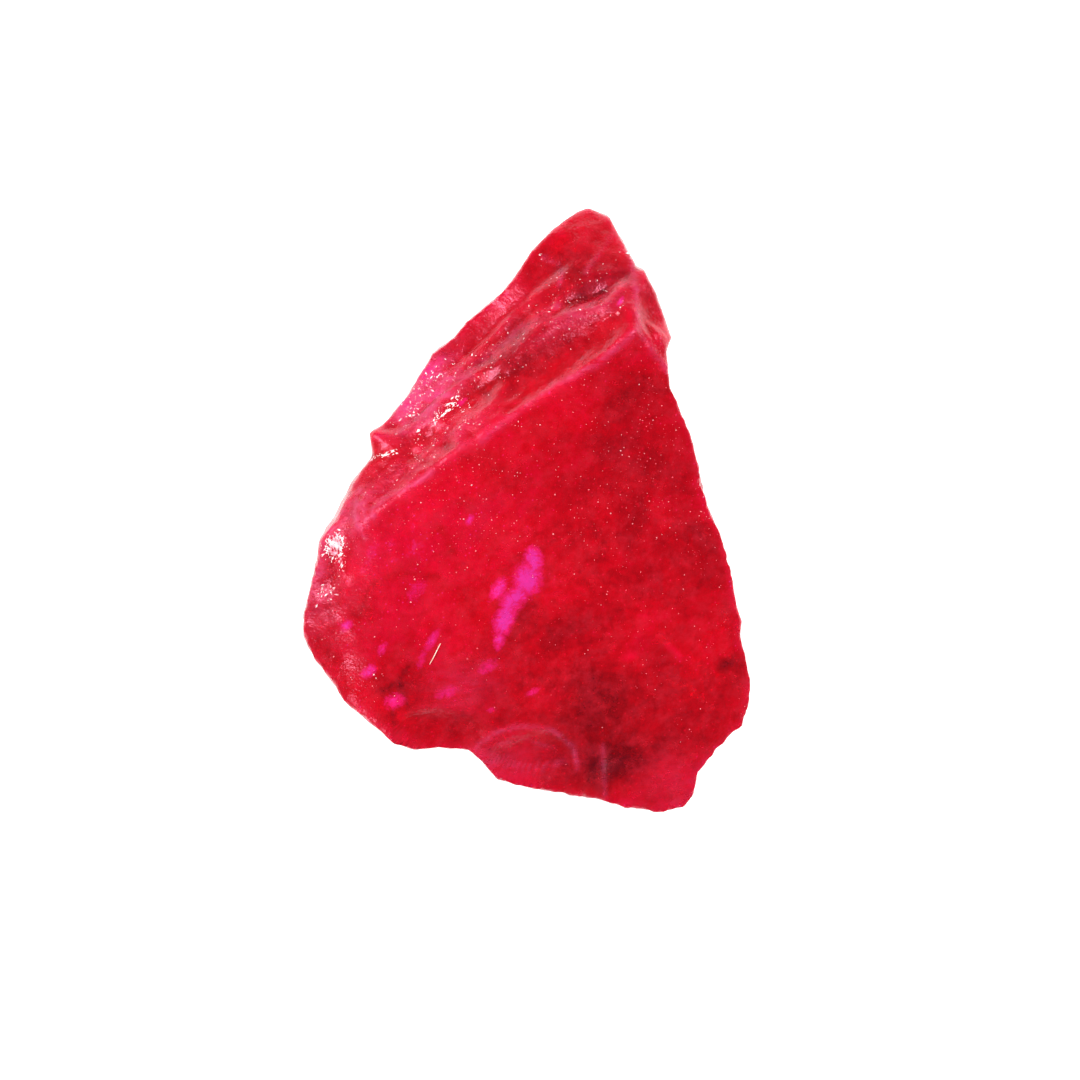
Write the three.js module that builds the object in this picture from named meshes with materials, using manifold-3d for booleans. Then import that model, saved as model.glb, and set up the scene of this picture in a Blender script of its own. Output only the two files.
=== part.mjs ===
// A raw ruby chip: one solid broken piece, lying on its flat parting face.
// Millimetres, +Z up, +Y along the length. The outline is raised into a leaning wall,
// trimmed by flat breaks above and below, and hollowed by shell-shaped scars.
import * as THREE from "three";
import Module from "manifold-3d";

const RUBY = { color: 0xc2102a, roughness: 0.3, metalness: 0, flatShading: true };
const HEART = [0.2, -0.6]; // plan point inside the stone that bearings are taken about
const WALL_FOOT = -1; // the raw wall runs from here to its head before it is trimmed
const WALL_HEAD = 6;
const CAP_SHARE = 4; // a scar is the cap of an ellipsoid this many times its depth in half height
const SCAR_SIDES = 32; // sides round a whole ellipsoid
const SMALLEST_EDGE = 0.004; // shorter edges are merged away

// Plan of the stone at its widest, clockwise from the tip.
const OUTLINE = [
  [1.22, 6.03], [1.62, 5.88], [1.8, 5.55], [2.17, 4.86], [2.33, 4.76], [2.6, 4.18], [2.86, 3.42],
  [2.75, 3.2], [2.83, 2.4], [3.24, 1.45], [3.41, 0.9], [3.6, 0.12], [3.98, -0.88], [4.18, -1.8], [4.3, -2.2],
  [4.28, -2.48], [4.49, -3.45], [4.44, -4.0], [4.34, -4.33], [3.79, -4.84], [3.46, -5.28],
  [3.36, -5.7], [3.14, -5.94], [2.6, -6.03], [2.05, -5.96], [1.45, -5.77], [0.95, -5.7],
  [-0.22, -5.49], [-0.58, -5.31], [-0.9, -4.93], [-1.15, -4.78], [-1.75, -4.69], [-2.2, -4.75],
  [-2.65, -4.62], [-3.62, -3.75], [-3.78, -3.42], [-4.2, -2.93], [-4.45, -2.5], [-4.46, -2.1],
  [-4.12, -0.62], [-3.84, -0.15], [-3.48, 0.6], [-3.09, 1.1], [-3.06, 1.48], [-2.58, 2.05], [-2.36, 2.26],
  [-1.88, 3.14], [-1.45, 3.48], [-1.22, 3.77], [-0.5, 4.33], [-0.22, 4.68], [0.1, 5.18], [0.5, 5.6], [0.95, 5.92],
];

// Height of the widest line round the stone, and how far the wall leans in above and below it
// per mm of height, by bearing about the heart in degrees from +X.
const GIRDLE = [
  { bearing: -180, height: 3.1, above: 0.08, below: 0.19 },
  { bearing: -150, height: 2.9, above: 0.02, below: 0.22 },
  { bearing: -125, height: 2.8, above: 0, below: 0.28 },
  { bearing: -108, height: 2.5, above: 0, below: 0.26 },
  { bearing: -92, height: 2, above: 0, below: 0.32 },
  { bearing: -62, height: 1.45, above: 0, below: 0.5 },
  { bearing: -34, height: 1.8, above: 0, below: 0.38 },
  { bearing: 0, height: 3, above: 0, below: 0.22 },
  { bearing: 26, height: 3, above: 0, below: 0.28 },
  { bearing: 52, height: 3.1, above: 0, below: 0.24 },
  { bearing: 81, height: 2.4, above: 0.02, below: 0.45 },
  { bearing: 105, height: 2.3, above: 0.02, below: 0.36 },
  { bearing: 130, height: 2.7, above: 0.02, below: 0.28 },
  { bearing: 152, height: 3, above: 0.04, below: 0.23 },
  { bearing: 180, height: 3.1, above: 0.08, below: 0.19 },
];

// Flat breaks. Each falls away toward a bearing at a dip from level, in degrees, and passes
// through its height at its reach from the origin along that bearing. A scar in a break has a
// plan point, the hollow's half length, half width and depth, and the bearing of its length.
const UPPER_BREAKS = [
  { name: "broad face, left", toward: -61, dip: 19, reach: 0, height: 4.38, scars: [
    { at: [-1.6, -4.5], length: 1.1, width: 0.6, depth: 0.16, bearing: 170 },
  ] },
  { name: "broad face, right", toward: -49, dip: 25, reach: 0, height: 4.47, scars: [
    { at: [0.15, -4.95], length: 1.1, width: 0.58, depth: 0.11, bearing: -4 },
    { at: [3.85, -4.75], length: 0.9, width: 0.7, depth: 0.07, bearing: 50 },
    { at: [1.6, -5.6], length: 0.7, width: 0.55, depth: 0.07, bearing: 75 },
  ] },
  { name: "bevel", toward: 127, dip: 32, reach: 1.62, height: 5.04, scars: [
    { at: [0.7, 3.02], length: 1.75, width: 0.55, depth: 0.14, bearing: 35 },
    { at: [1.3, 4.38], length: 0.75, width: 0.4, depth: 0.18, bearing: 22 },
    { at: [0.75, 5.1], length: 1.2, width: 0.8, depth: 0.15, bearing: 62 },
    { at: [-0.9, 3.35], length: 1.6, width: 0.75, depth: 0.18, bearing: 44 },
    { at: [-1.15, 2.3], length: 0.9, width: 0.5, depth: 0.16, bearing: 38 },
    { at: [-2.15, 2.3], length: 1.1, width: 0.7, depth: 0.2, bearing: 52 },
    { at: [-2.05, 1.35], length: 0.8, width: 0.5, depth: 0.14, bearing: 30 },
    { at: [-2.75, 0.7], length: 0.8, width: 0.4, depth: 0.1, bearing: 45 },
  ] },
  { name: "left bevel", toward: 150, dip: 42, reach: 3.05, height: 4.45, scars: [] },
  { name: "left lobe", toward: -165, dip: 30, reach: 3.45, height: 4.62, scars: [
    { at: [-3.75, -0.75], length: 0.9, width: 0.5, depth: 0.08, bearing: 78 },
    { at: [-4.0, -1.8], length: 0.9, width: 0.5, depth: 0.06, bearing: 100 },
  ] },
  { name: "lower left", toward: -140, dip: 28, reach: 4.55, height: 4.0, scars: [
    { at: [-3.5, -3.5], length: 1.2, width: 0.6, depth: 0.07, bearing: 130 },
  ] },
  { name: "right shoulder", toward: 32, dip: 43, reach: 3.7, height: 5.05, scars: [
    { at: [2.42, 4.1], length: 1.0, width: 0.5, depth: 0.12, bearing: 110 },
  ] },
  { name: "right corner", toward: 14, dip: 43, reach: 2.93, height: 5.03, scars: [] },
  { name: "tip", toward: 95, dip: 40, reach: 5.48, height: 3.35, scars: [] },
];
const UNDER_BREAKS = [
  { name: "lower right", toward: -48, dip: 20, reach: 3.4, height: 0, scars: [] },
  { name: "right", toward: -20, dip: 28, reach: 3.1, height: 0, scars: [
    { at: [3.6, -1.6], length: 1.4, width: 0.9, depth: 0.18, bearing: 70 },
  ] },
  { name: "upper right", toward: 30, dip: 42, reach: 2.2, height: 0, scars: [
    { at: [2.5, 1.9], length: 1.7, width: 1.0, depth: 0.24, bearing: -60 },
  ] },
  { name: "tip", toward: 75, dip: 30, reach: 3.2, height: 0, scars: [
    { at: [1.1, 4.5], length: 1.1, width: 0.8, depth: 0.16, bearing: 80 },
  ] },
  { name: "upper left", toward: 118, dip: 38, reach: 2.6, height: 0, scars: [
    { at: [-0.7, 3.4], length: 1.9, width: 1.1, depth: 0.26, bearing: 35 },
  ] },
  { name: "left", toward: 150, dip: 60, reach: 2.7, height: 0, scars: [] },
  { name: "left lobe", toward: -170, dip: 50, reach: 3.0, height: 0, scars: [
    { at: [-3.7, -1.2], length: 1.5, width: 1.0, depth: 0.22, bearing: 95 },
  ] },
  { name: "lower left", toward: -130, dip: 42, reach: 3.0, height: 0, scars: [
    { at: [-2.6, -3.1], length: 1.9, width: 1.1, depth: 0.26, bearing: 145 },
  ] },
  { name: "bottom edge", toward: -95, dip: 30, reach: 3.6, height: 0, scars: [
    { at: [0.5, -4.7], length: 1.9, width: 0.9, depth: 0.2, bearing: 8 },
  ] },
];

// Scars in the wall: the middle of the hollow, the bearing it faces, and its size; lengths run level.
const WALL_SCARS = [
  { at: [3.5, 0.3, 2.1], facing: 16, length: 1.7, width: 0.75, depth: 0.16 },
  { at: [2.45, 4.1, 1.75], facing: 28, length: 1.3, width: 0.6, depth: 0.15 },
  { at: [-3.2, 0.8, 1.75], facing: 150, length: 1.5, width: 0.9, depth: 0.2 },
  { at: [-3.1, -4.1, 1.1], facing: -135, length: 1.3, width: 0.6, depth: 0.16 },
  { at: [-1.5, -4.55, 1.5], facing: -105, length: 1.0, width: 0.6, depth: 0.14 },
];

const wasm = await Module();
wasm.setup();
const { Manifold, Mesh } = wasm;

const radians = THREE.MathUtils.degToRad;
const onBearing = (degrees) => new THREE.Vector3(Math.cos(radians(degrees)), Math.sin(radians(degrees)), 0);

function girdleAt(degrees) {
  const next = Math.max(1, GIRDLE.findIndex((stop) => stop.bearing >= degrees));
  const [a, b] = [GIRDLE[next - 1], GIRDLE[next]];
  const share = (degrees - a.bearing) / (b.bearing - a.bearing);
  const mix = (name) => THREE.MathUtils.lerp(a[name], b[name], share);
  return { height: mix("height"), above: mix("above"), below: mix("below") };
}

// A manifold solid from points and triangles.
const solidOf = (points, triangles) =>
  new Manifold(
    new Mesh({
      numProp: 3,
      vertProperties: new Float32Array(points.flat()),
      triVerts: new Uint32Array(triangles.flat()),
    }),
  );

// The wall: three rings of the outline, at the foot, the girdle and the head, with closed ends.
function wallSolid() {
  const n = OUTLINE.length;
  const rings = [[], [], []];
  for (const [x, y] of [...OUTLINE].reverse()) {
    const out = new THREE.Vector2(x - HEART[0], y - HEART[1]);
    const { height, above, below } = girdleAt(THREE.MathUtils.radToDeg(Math.atan2(out.y, out.x)));
    const ringPoint = (z, lean) => {
      const reach = 1 - (lean * Math.abs(z - height)) / out.length();
      return [HEART[0] + out.x * reach, HEART[1] + out.y * reach, z];
    };
    rings[0].push(ringPoint(WALL_FOOT, below));
    rings[1].push(ringPoint(height, 0));
    rings[2].push(ringPoint(WALL_HEAD, above));
  }
  const points = [...rings.flat(), [...HEART, WALL_FOOT], [...HEART, WALL_HEAD]];
  const triangles = [];
  for (let i = 0; i < n; i++) {
    const j = (i + 1) % n;
    for (const base of [0, n])
      triangles.push([base + i, base + j, base + n + j], [base + i, base + n + j, base + n + i]);
    triangles.push([3 * n, j, i], [3 * n + 1, 2 * n + i, 2 * n + j]);
  }
  return solidOf(points, triangles);
}

// Outward normal of a break; side is 1 on top and -1 underneath.
const breakNormal = ({ toward, dip }, side) =>
  onBearing(toward).multiplyScalar(Math.sin(radians(dip))).setZ(side * Math.cos(radians(dip)));

// The point of a break straight above or below a plan point.
function breakPoint({ toward, dip, reach, height }, side, [x, y]) {
  const along = new THREE.Vector3(x, y, 0).dot(onBearing(toward));
  return new THREE.Vector3(x, y, height - side * Math.tan(radians(dip)) * (along - reach));
}

function trimByBreak(solid, face, side) {
  const inward = breakNormal(face, side).negate();
  return solid.trimByPlane(inward.toArray(), inward.dot(breakPoint(face, side, [0, 0])));
}

// The ellipsoid whose cap is a scar, given the middle of the hollow and the way it faces.
function scarSolid(point, normal, lengthwise, { length, width, depth }) {
  const tall = CAP_SHARE * depth;
  const rim = Math.sqrt(1 - (1 - 1 / CAP_SHARE) ** 2); // the cap's radius over the ellipsoid's
  const along = lengthwise.clone().addScaledVector(normal, -lengthwise.dot(normal)).normalize();
  const across = normal.clone().cross(along);
  const placed = new THREE.Matrix4()
    .makeBasis(along.multiplyScalar(length / rim), across.multiplyScalar(width / rim), normal.clone().multiplyScalar(tall))
    .setPosition(point.clone().addScaledVector(normal, tall - depth));
  return Manifold.sphere(1, SCAR_SIDES).transform(placed.toArray());
}

const breakScars = (faces, side) =>
  faces.flatMap((face) =>
    face.scars.map((scar) =>
      scarSolid(breakPoint(face, side, scar.at), breakNormal(face, side), onBearing(scar.bearing), scar),
    ),
  );

const wallScars = WALL_SCARS.map((scar) =>
  scarSolid(new THREE.Vector3(...scar.at), onBearing(scar.facing), onBearing(scar.facing + 90), scar),
);

let stone = wallSolid();
for (const face of UPPER_BREAKS) stone = trimByBreak(stone, face, 1);
for (const face of UNDER_BREAKS) stone = trimByBreak(stone, face, -1);
for (const scar of [...breakScars(UPPER_BREAKS, 1), ...breakScars(UNDER_BREAKS, -1), ...wallScars])
  stone = stone.subtract(scar);
stone = stone.trimByPlane([0, 0, 1], 0).simplify(SMALLEST_EDGE);

// Centred in plan, with the resting face at z = 0.
const { min, max } = stone.boundingBox();
stone = stone.translate([-(min[0] + max[0]) / 2, -(min[1] + max[1]) / 2, -min[2]]);
const mesh = stone.getMesh();
const geometry = new THREE.BufferGeometry()
  .setAttribute("position", new THREE.BufferAttribute(mesh.vertProperties, mesh.numProp))
  .setIndex(new THREE.BufferAttribute(mesh.triVerts, 1));
geometry.computeVertexNormals();

const ruby = new THREE.Mesh(geometry, new THREE.MeshStandardMaterial(RUBY));
ruby.name = "ruby_crystal";

const part = new THREE.Group();
part.name = "raw_ruby_crystal";
part.add(ruby);
export default part;
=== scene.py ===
import bpy
import numpy as np
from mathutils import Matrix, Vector


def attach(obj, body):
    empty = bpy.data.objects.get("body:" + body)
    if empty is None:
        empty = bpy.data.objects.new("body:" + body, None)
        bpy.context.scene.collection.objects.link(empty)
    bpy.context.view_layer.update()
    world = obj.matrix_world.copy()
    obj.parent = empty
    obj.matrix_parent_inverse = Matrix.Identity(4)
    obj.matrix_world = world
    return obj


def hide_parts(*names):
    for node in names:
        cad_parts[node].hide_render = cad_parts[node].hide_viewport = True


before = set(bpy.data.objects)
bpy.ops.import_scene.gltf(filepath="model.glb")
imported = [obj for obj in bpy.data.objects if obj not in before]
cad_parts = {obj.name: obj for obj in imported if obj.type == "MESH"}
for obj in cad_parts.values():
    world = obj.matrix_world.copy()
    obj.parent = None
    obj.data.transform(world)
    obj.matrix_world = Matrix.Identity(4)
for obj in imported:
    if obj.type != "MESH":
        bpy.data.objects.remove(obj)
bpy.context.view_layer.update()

# --- The stone ---------------------------------------------------------------------------------
# One piece of ruby (corundum) broken from a larger crystal, lying on its flat parting face.
# Ruby has no cleavage, so it breaks in near-flat partings and in hollow, shell-shaped scars,
# and the edges between them chip and wear to a pale frosted line.

MM = 0.001
HEART = np.array((0.2, -0.6, 1.8))  # mm; every surface point lies on a straight ray from here
RAY_BOX = np.array((4.6, 6.0, 2.8))  # half sizes of the box whose grids space the rays evenly
CELLS = (132, 172, 88)  # cells across the width, along the length and up the sides
CENTRE = np.array((0.015, 0, 0))  # mm, middle of the stone's box in plan
CRISPNESS = 35  # per mm; the larger, the sharper the edges between breaks
SHARP_TURN = 35  # degrees between faces at which an edge looks chipped rather than worn smooth
WEAR = 0.5  # mm of reach over which the worn breaks melt into their upper neighbours
CAP_SHARE = 4  # a scar is the cap of an ellipsoid this many times its depth in half height
CAP_RIM = np.sqrt(1 - (1 - 1 / CAP_SHARE) ** 2)  # that cap's radius over the ellipsoid's

# Plan of the stone at its widest, clockwise from the tip.
OUTLINE = np.array([
    (1.22, 6.03), (1.62, 5.88), (1.80, 5.55), (2.17, 4.86), (2.33, 4.76), (2.60, 4.18), (2.86, 3.42),
    (2.75, 3.20), (2.83, 2.40), (3.24, 1.45), (3.41, 0.90), (3.60, 0.12), (3.98, -0.88), (4.18, -1.80),
    (4.30, -2.20), (4.28, -2.48), (4.49, -3.45), (4.44, -4.00), (4.34, -4.33), (3.76, -4.82),
    (3.44, -5.27), (3.37, -5.72), (3.17, -6.00), (2.62, -6.08), (2.06, -5.99), (1.45, -5.78),
    (0.95, -5.69), (-0.22, -5.46), (-0.61, -5.34), (-0.94, -4.96), (-1.15, -4.76), (-1.75, -4.69),
    (-2.20, -4.75), (-2.65, -4.62), (-3.62, -3.75), (-3.78, -3.42), (-4.20, -2.93), (-4.45, -2.50),
    (-4.46, -2.10), (-4.12, -0.62), (-3.84, -0.15), (-3.48, 0.60), (-3.09, 1.10), (-3.06, 1.48),
    (-2.58, 2.05), (-2.36, 2.26), (-1.88, 3.14), (-1.45, 3.48), (-1.22, 3.77), (-0.50, 4.33),
    (-0.22, 4.68), (0.10, 5.18), (0.50, 5.60), (0.95, 5.92),
])

# Bearing about the heart, height of the widest line, and lean of the wall above and below it.
GIRDLE = np.array([
    (-150, 2.90, 0.02, 0.22), (-125, 2.80, 0.00, 0.28), (-108, 2.50, 0.00, 0.26),
    (-92, 2.00, 0.00, 0.32), (-62, 1.45, 0.00, 0.50), (-34, 1.80, 0.00, 0.38), (0, 3.00, 0.00, 0.22),
    (26, 3.00, 0.00, 0.28), (52, 3.10, 0.00, 0.24), (81, 2.40, 0.02, 0.45), (105, 2.30, 0.02, 0.36),
    (130, 2.70, 0.02, 0.28), (152, 3.00, 0.04, 0.23), (180, 3.10, 0.08, 0.19),
])

# Flat breaks: side (1 on top, -1 underneath), bearing it falls toward, dip, reach and height.
BREAKS = {
    "broad left": (1, -61, 19, 0, 4.38), "broad right": (1, -49, 25, 0, 4.47),
    "bevel": (1, 127, 32, 1.62, 5.04), "left bevel": (1, 150, 42, 3.05, 4.45),
    "left lobe": (1, -165, 30, 3.45, 4.62), "lower left": (1, -140, 28, 4.55, 4.0),
    "right shoulder": (1, 32, 43, 3.70, 5.05), "right corner": (1, 14, 43, 2.93, 5.03),
    "tip": (1, 95, 40, 5.48, 3.35),
    "under lower right": (-1, -48, 20, 3.4, 0), "under right": (-1, -20, 28, 3.1, 0),
    "under upper right": (-1, 30, 42, 2.2, 0), "under tip": (-1, 75, 30, 3.2, 0),
    "under upper left": (-1, 118, 38, 2.6, 0), "under left": (-1, 150, 60, 2.7, 0),
    "under left lobe": (-1, -170, 50, 3.0, 0), "under lower left": (-1, -130, 42, 3.0, 0),
    "under bottom": (-1, -95, 30, 3.6, 0),
}

WORN = ("left bevel", "left lobe", "lower left")  # breaks that are worn where they meet fresh ones

# Scars in a break: plan point, half length, half width, depth, bearing of the length.
BREAK_SCARS = [
    ("broad left", -1.60, -4.50, 1.10, 0.60, 0.16, 170),
    ("broad right", 0.15, -4.95, 1.10, 0.58, 0.11, -4),
    ("broad right", 3.85, -4.75, 0.90, 0.70, 0.07, 50),
    ("broad right", 1.60, -5.60, 0.70, 0.55, 0.07, 75), ("bevel", 0.70, 3.02, 1.75, 0.55, 0.14, 35),
    ("bevel", 1.30, 4.38, 0.75, 0.40, 0.18, 22), ("bevel", 0.75, 5.10, 1.20, 0.80, 0.15, 62),
    ("bevel", -0.90, 3.35, 1.60, 0.75, 0.18, 44), ("bevel", -1.15, 2.30, 0.90, 0.50, 0.16, 38),
    ("bevel", -2.15, 2.30, 1.10, 0.70, 0.20, 52), ("bevel", -2.05, 1.35, 0.80, 0.50, 0.14, 30),
    ("bevel", -2.75, 0.70, 0.80, 0.40, 0.10, 45), ("left lobe", -3.75, -0.75, 0.90, 0.50, 0.08, 78),
    ("left lobe", -4.00, -1.80, 0.90, 0.50, 0.06, 100),
    ("lower left", -3.50, -3.50, 1.20, 0.60, 0.07, 130),
    ("right shoulder", 2.42, 4.10, 1.00, 0.50, 0.12, 110),
    ("under right", 3.60, -1.60, 1.40, 0.90, 0.18, 70),
    ("under upper right", 2.50, 1.90, 1.70, 1.00, 0.24, -60),
    ("under tip", 1.10, 4.50, 1.10, 0.80, 0.16, 80),
    ("under upper left", -0.70, 3.40, 1.90, 1.10, 0.26, 35),
    ("under left lobe", -3.70, -1.20, 1.50, 1.00, 0.22, 95),
    ("under lower left", -2.60, -3.10, 1.90, 1.10, 0.26, 145),
    ("under bottom", 0.50, -4.70, 1.90, 0.90, 0.20, 8),
]

# Scars in the wall: middle of the hollow, bearing it faces, half length, half width, depth.
WALL_SCARS = np.array([
    (3.50, 0.30, 2.10, 16, 1.70, 0.75, 0.16), (2.45, 4.10, 1.75, 28, 1.30, 0.60, 0.15),
    (-3.20, 0.80, 1.75, 150, 1.50, 0.90, 0.20), (-3.10, -4.10, 1.10, -135, 1.30, 0.60, 0.16),
    (-1.50, -4.55, 1.50, -105, 1.00, 0.60, 0.14),
])
RING_SPACING = 0.26  # mm, of the rings that a crack leaves in a shell-shaped scar of the bevel
RING_HEIGHT = 0.0025  # mm
RINGS_FROM = 0.8  # where they start, in half lengths of the scar from its middle
BEYOND = 99  # mm, farther than any break of the stone

# Swells (+) and sinks (-) on the upper breaks, in plan: middle, half length, half width, bearing of
# the length, rise. The first six are the long lobes and troughs that run beside the ridge.
SWELLS = np.array([
    (1.00, 3.92, 1.15, 0.17, 33, 0.09), (0.35, 3.30, 1.50, 0.22, 35, -0.07),
    (-0.50, 3.02, 1.10, 0.16, 40, 0.030), (1.45, 4.42, 0.55, 0.15, 25, -0.12),
    (0.55, 4.42, 0.60, 0.14, 40, 0.07), (-0.95, 3.45, 0.90, 0.15, 44, -0.06),
    (-2.90, 1.45, 0.20, 0.18, 0, 0.16), (0.62, 4.85, 0.17, 0.13, 60, -0.07),
    (-2.00, 1.50, 0.20, 0.16, 20, -0.08), (-1.55, 1.30, 0.17, 0.15, 0, -0.07),
    (-1.15, 1.52, 0.18, 0.14, 50, -0.06), (-2.30, 1.12, 0.16, 0.14, 10, -0.06),
    (-1.75, 2.05, 0.75, 0.13, 38, 0.08), (-2.05, 2.45, 0.50, 0.16, 50, 0.08),
    (-2.50, 1.75, 0.45, 0.10, 30, -0.07), (-1.35, 2.78, 0.60, 0.12, 42, 0.035),
    (-0.10, 3.95, 0.80, 0.11, 42, 0.05), (1.00, 5.35, 0.55, 0.22, 65, 0.05),
    (2.62, 3.36, 0.26, 0.18, -60, 0.07), (-3.85, -0.55, 0.30, 0.25, 70, 0.07),
    (-3.95, -1.30, 0.35, 0.16, 80, -0.07), (-4.15, -1.75, 0.28, 0.16, 90, 0.06),
    (-3.55, -0.20, 0.45, 0.12, 60, -0.05), (-3.10, 0.35, 0.60, 0.12, 50, 0.05),
    (0.10, -4.90, 0.62, 0.34, -5, -0.07), (0.10, -4.90, 0.36, 0.18, -5, 0.06),
    (1.45, -5.10, 0.12, 0.55, -4, 0.05), (-2.20, -4.20, 0.60, 0.25, 10, -0.05),
    (2.35, -2.90, 0.40, 0.22, -30, -0.03), (1.90, 2.10, 0.70, 0.35, 30, -0.03),
])

# Small flakes lost from each break: how many, half length, half width, depth, and the bearing
# their lengths keep to (None where they lie anyhow). Breaks not named here are like "wall".
FLAKES = {
    "broad left": (60, 0.50, 0.34, 0.010, None), "broad right": (70, 0.50, 0.34, 0.011, None),
    "bevel": (230, 0.38, 0.13, 0.016, 38), "left bevel": (60, 0.40, 0.16, 0.016, 50),
    "left lobe": (140, 0.22, 0.13, 0.020, 80), "lower left": (50, 0.36, 0.20, 0.012, None),
    "right shoulder": (60, 0.36, 0.15, 0.03, 115), "tip": (24, 0.3, 0.2, 0.02, None),
    "wall": (480, 0.34, 0.20, 0.036, None),
}
FLAKE_SIZES = (0.5, 1.25)  # least and greatest flake, as shares of the sizes above
FLAKE_STRAY = 9  # degrees by which the lengths of the flakes stray from their bearing

# Ripples of the whole surface: height in mm on the broad breaks, on the other breaks and on the
# wall, length in mm, and how many waves add up to them.
RIPPLES = [
    (0.030, 0.030, 0.030, 2.4, 24), (0.006, 0.009, 0.009, 0.5, 48), (0.004, 0.004, 0.012, 0.24, 64),
]


def unit(vectors):
    """Vectors divided by their lengths."""
    return vectors / np.linalg.norm(vectors, axis=-1, keepdims=True)


def on_bearing(degrees):
    """Level unit vectors on bearings given in degrees from +X."""
    turn = np.radians(degrees)
    return np.stack((np.cos(turn), np.sin(turn), np.zeros_like(turn)), -1)


def box_rays(cells, half_sizes):
    """Rays through the grid points of a box's six sides, the points spaced by the tangent of
    equal angles and shared along the box's edges, and the quads between them."""
    lines = [np.tan(np.linspace(-1, 1, n + 1) * np.pi / 4) for n in cells]
    points, quads, start = [], [], 0
    for fixed in range(3):
        for sign in (1, -1):
            a, b = ((fixed + 1) % 3, (fixed + 2) % 3)[::sign]
            u, v = np.meshgrid(lines[a], lines[b], indexing="ij")
            side = np.empty(u.shape + (3,))
            side[..., fixed], side[..., a], side[..., b] = sign, u, v
            index = start + np.arange(u.size).reshape(u.shape)
            corners = (index[:-1, :-1], index[1:, :-1], index[1:, 1:], index[:-1, 1:])
            points.append(side.reshape(-1, 3))
            quads.append(np.stack(corners, -1).reshape(-1, 4))
            start += u.size
    points = np.concatenate(points)
    first, place = np.unique(np.round(points, 7), axis=0, return_index=True, return_inverse=True)[1:]
    return unit(points[first] * half_sizes), place.reshape(-1)[np.concatenate(quads)]


def break_reach(rays, side, toward, dip, reach, height):
    """Distance to a flat break: the room between heart and plane, over how fast a ray nears it."""
    fall, out = np.tan(np.radians(dip)), on_bearing(toward)
    rate = fall * rays @ out + side * rays[:, 2]
    room = fall * (reach - HEART @ out) + side * (height - HEART[2])
    return np.where(rate > 1e-6, room / np.maximum(rate, 1e-6), np.inf)


def wall_reach(rays):
    """Distance to the wall: along each bearing the outline's plan distance, less the lean of the
    wall times the height above or below the girdle."""
    corners = OUTLINE - HEART[:2]
    bearing = np.arctan2(corners[:, 1], corners[:, 0])
    order = np.argsort(bearing)
    corners, bearing = corners[order], bearing[order]
    way = np.arctan2(rays[:, 1], rays[:, 0])
    flat = np.maximum(np.hypot(rays[:, 0], rays[:, 1]), 1e-9)
    level = on_bearing(np.degrees(way))[:, :2]
    here = (np.searchsorted(bearing, way, side="right") - 1) % len(corners)
    edge = np.roll(corners, -1, axis=0)[here] - corners[here]
    plan = np.cross(corners[here], edge) / np.cross(level, edge)
    height, above, below = (np.interp(np.degrees(way), GIRDLE[:, 0], GIRDLE[:, k], period=360)
                            for k in (1, 2, 3))
    rise = height - HEART[2]
    up, down = flat + above * rays[:, 2], flat - below * rays[:, 2]
    over = np.where(up > 1e-6, (plan + above * rise) / np.maximum(up, 1e-6), np.inf)
    under = np.where(down > 1e-6, (plan - below * rise) / np.maximum(down, 1e-6), np.inf)
    return np.minimum(over, under)


def scar_reach(rays, middle, normal, lengthwise, length, width, depth):
    """Distance to the near side of the ellipsoid whose cap is the scar."""
    along = unit(lengthwise - (lengthwise @ normal) * normal)
    tall = CAP_SHARE * depth
    axes = np.stack((along * CAP_RIM / length, np.cross(normal, along) * CAP_RIM / width, normal / tall))
    start = axes @ (HEART - middle - normal * (tall - depth))
    ways = rays @ axes.T
    square, cross = (ways * ways).sum(1), ways @ start
    room = cross ** 2 - square * (start @ start - 1)
    return np.where((room > 0) & (cross < 0), (-cross - np.sqrt(np.maximum(room, 0))) / square, np.inf)


def main_reaches(rays):
    """The break that bounds the stone along each ray, by name, and its distance, with rings
    spreading over each scar from one end, as the crack that made it spread."""
    names = [*BREAKS, "wall"]
    rows = [break_reach(rays, *face) for face in BREAKS.values()] + [wall_reach(rays)]
    scars = []
    for name, x, y, length, width, depth, bearing in BREAK_SCARS:
        side, toward, dip, reach, height = BREAKS[name]
        out, fall = on_bearing(toward), np.tan(np.radians(dip))
        z = height - side * fall * (x * out[0] + y * out[1] - reach)
        normal = unit(out * fall + (0, 0, side))
        scars.append((name, (x, y, z), normal, on_bearing(bearing), length, width, depth))
    for x, y, z, facing, *sizes in WALL_SCARS:
        scars.append(("wall", (x, y, z), on_bearing(facing), on_bearing(facing + 90), *sizes))
    for name, middle, normal, lengthwise, length, width, depth in scars:
        middle = np.array(middle)
        reach = scar_reach(rays, middle, normal, lengthwise, length, width, depth)
        start = middle - lengthwise * RINGS_FROM * length
        struck = HEART + rays * np.minimum(reach, BEYOND)[:, None] - start
        rings = np.sin(2 * np.pi * np.linalg.norm(struck, axis=1) / RING_SPACING)
        names.append(name)
        rows.append(reach + (RING_HEIGHT if name == "bevel" else 0) * rings)
    return np.array(names), np.stack(rows)


def ripple(points, size, waves, seed):
    """A smooth random field, mostly from -1 to 1: the sum of sine waves of about one length, each
    with its own seeded direction and phase."""
    random = np.random.default_rng(seed)
    ways = unit(random.normal(size=(waves, 3))) * (2 * np.pi / size)
    ways *= random.uniform(0.7, 1.4, (waves, 1))
    return np.sin(points @ ways.T + random.uniform(0, 2 * np.pi, waves)).sum(1) * np.sqrt(2 / waves) / 2


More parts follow.
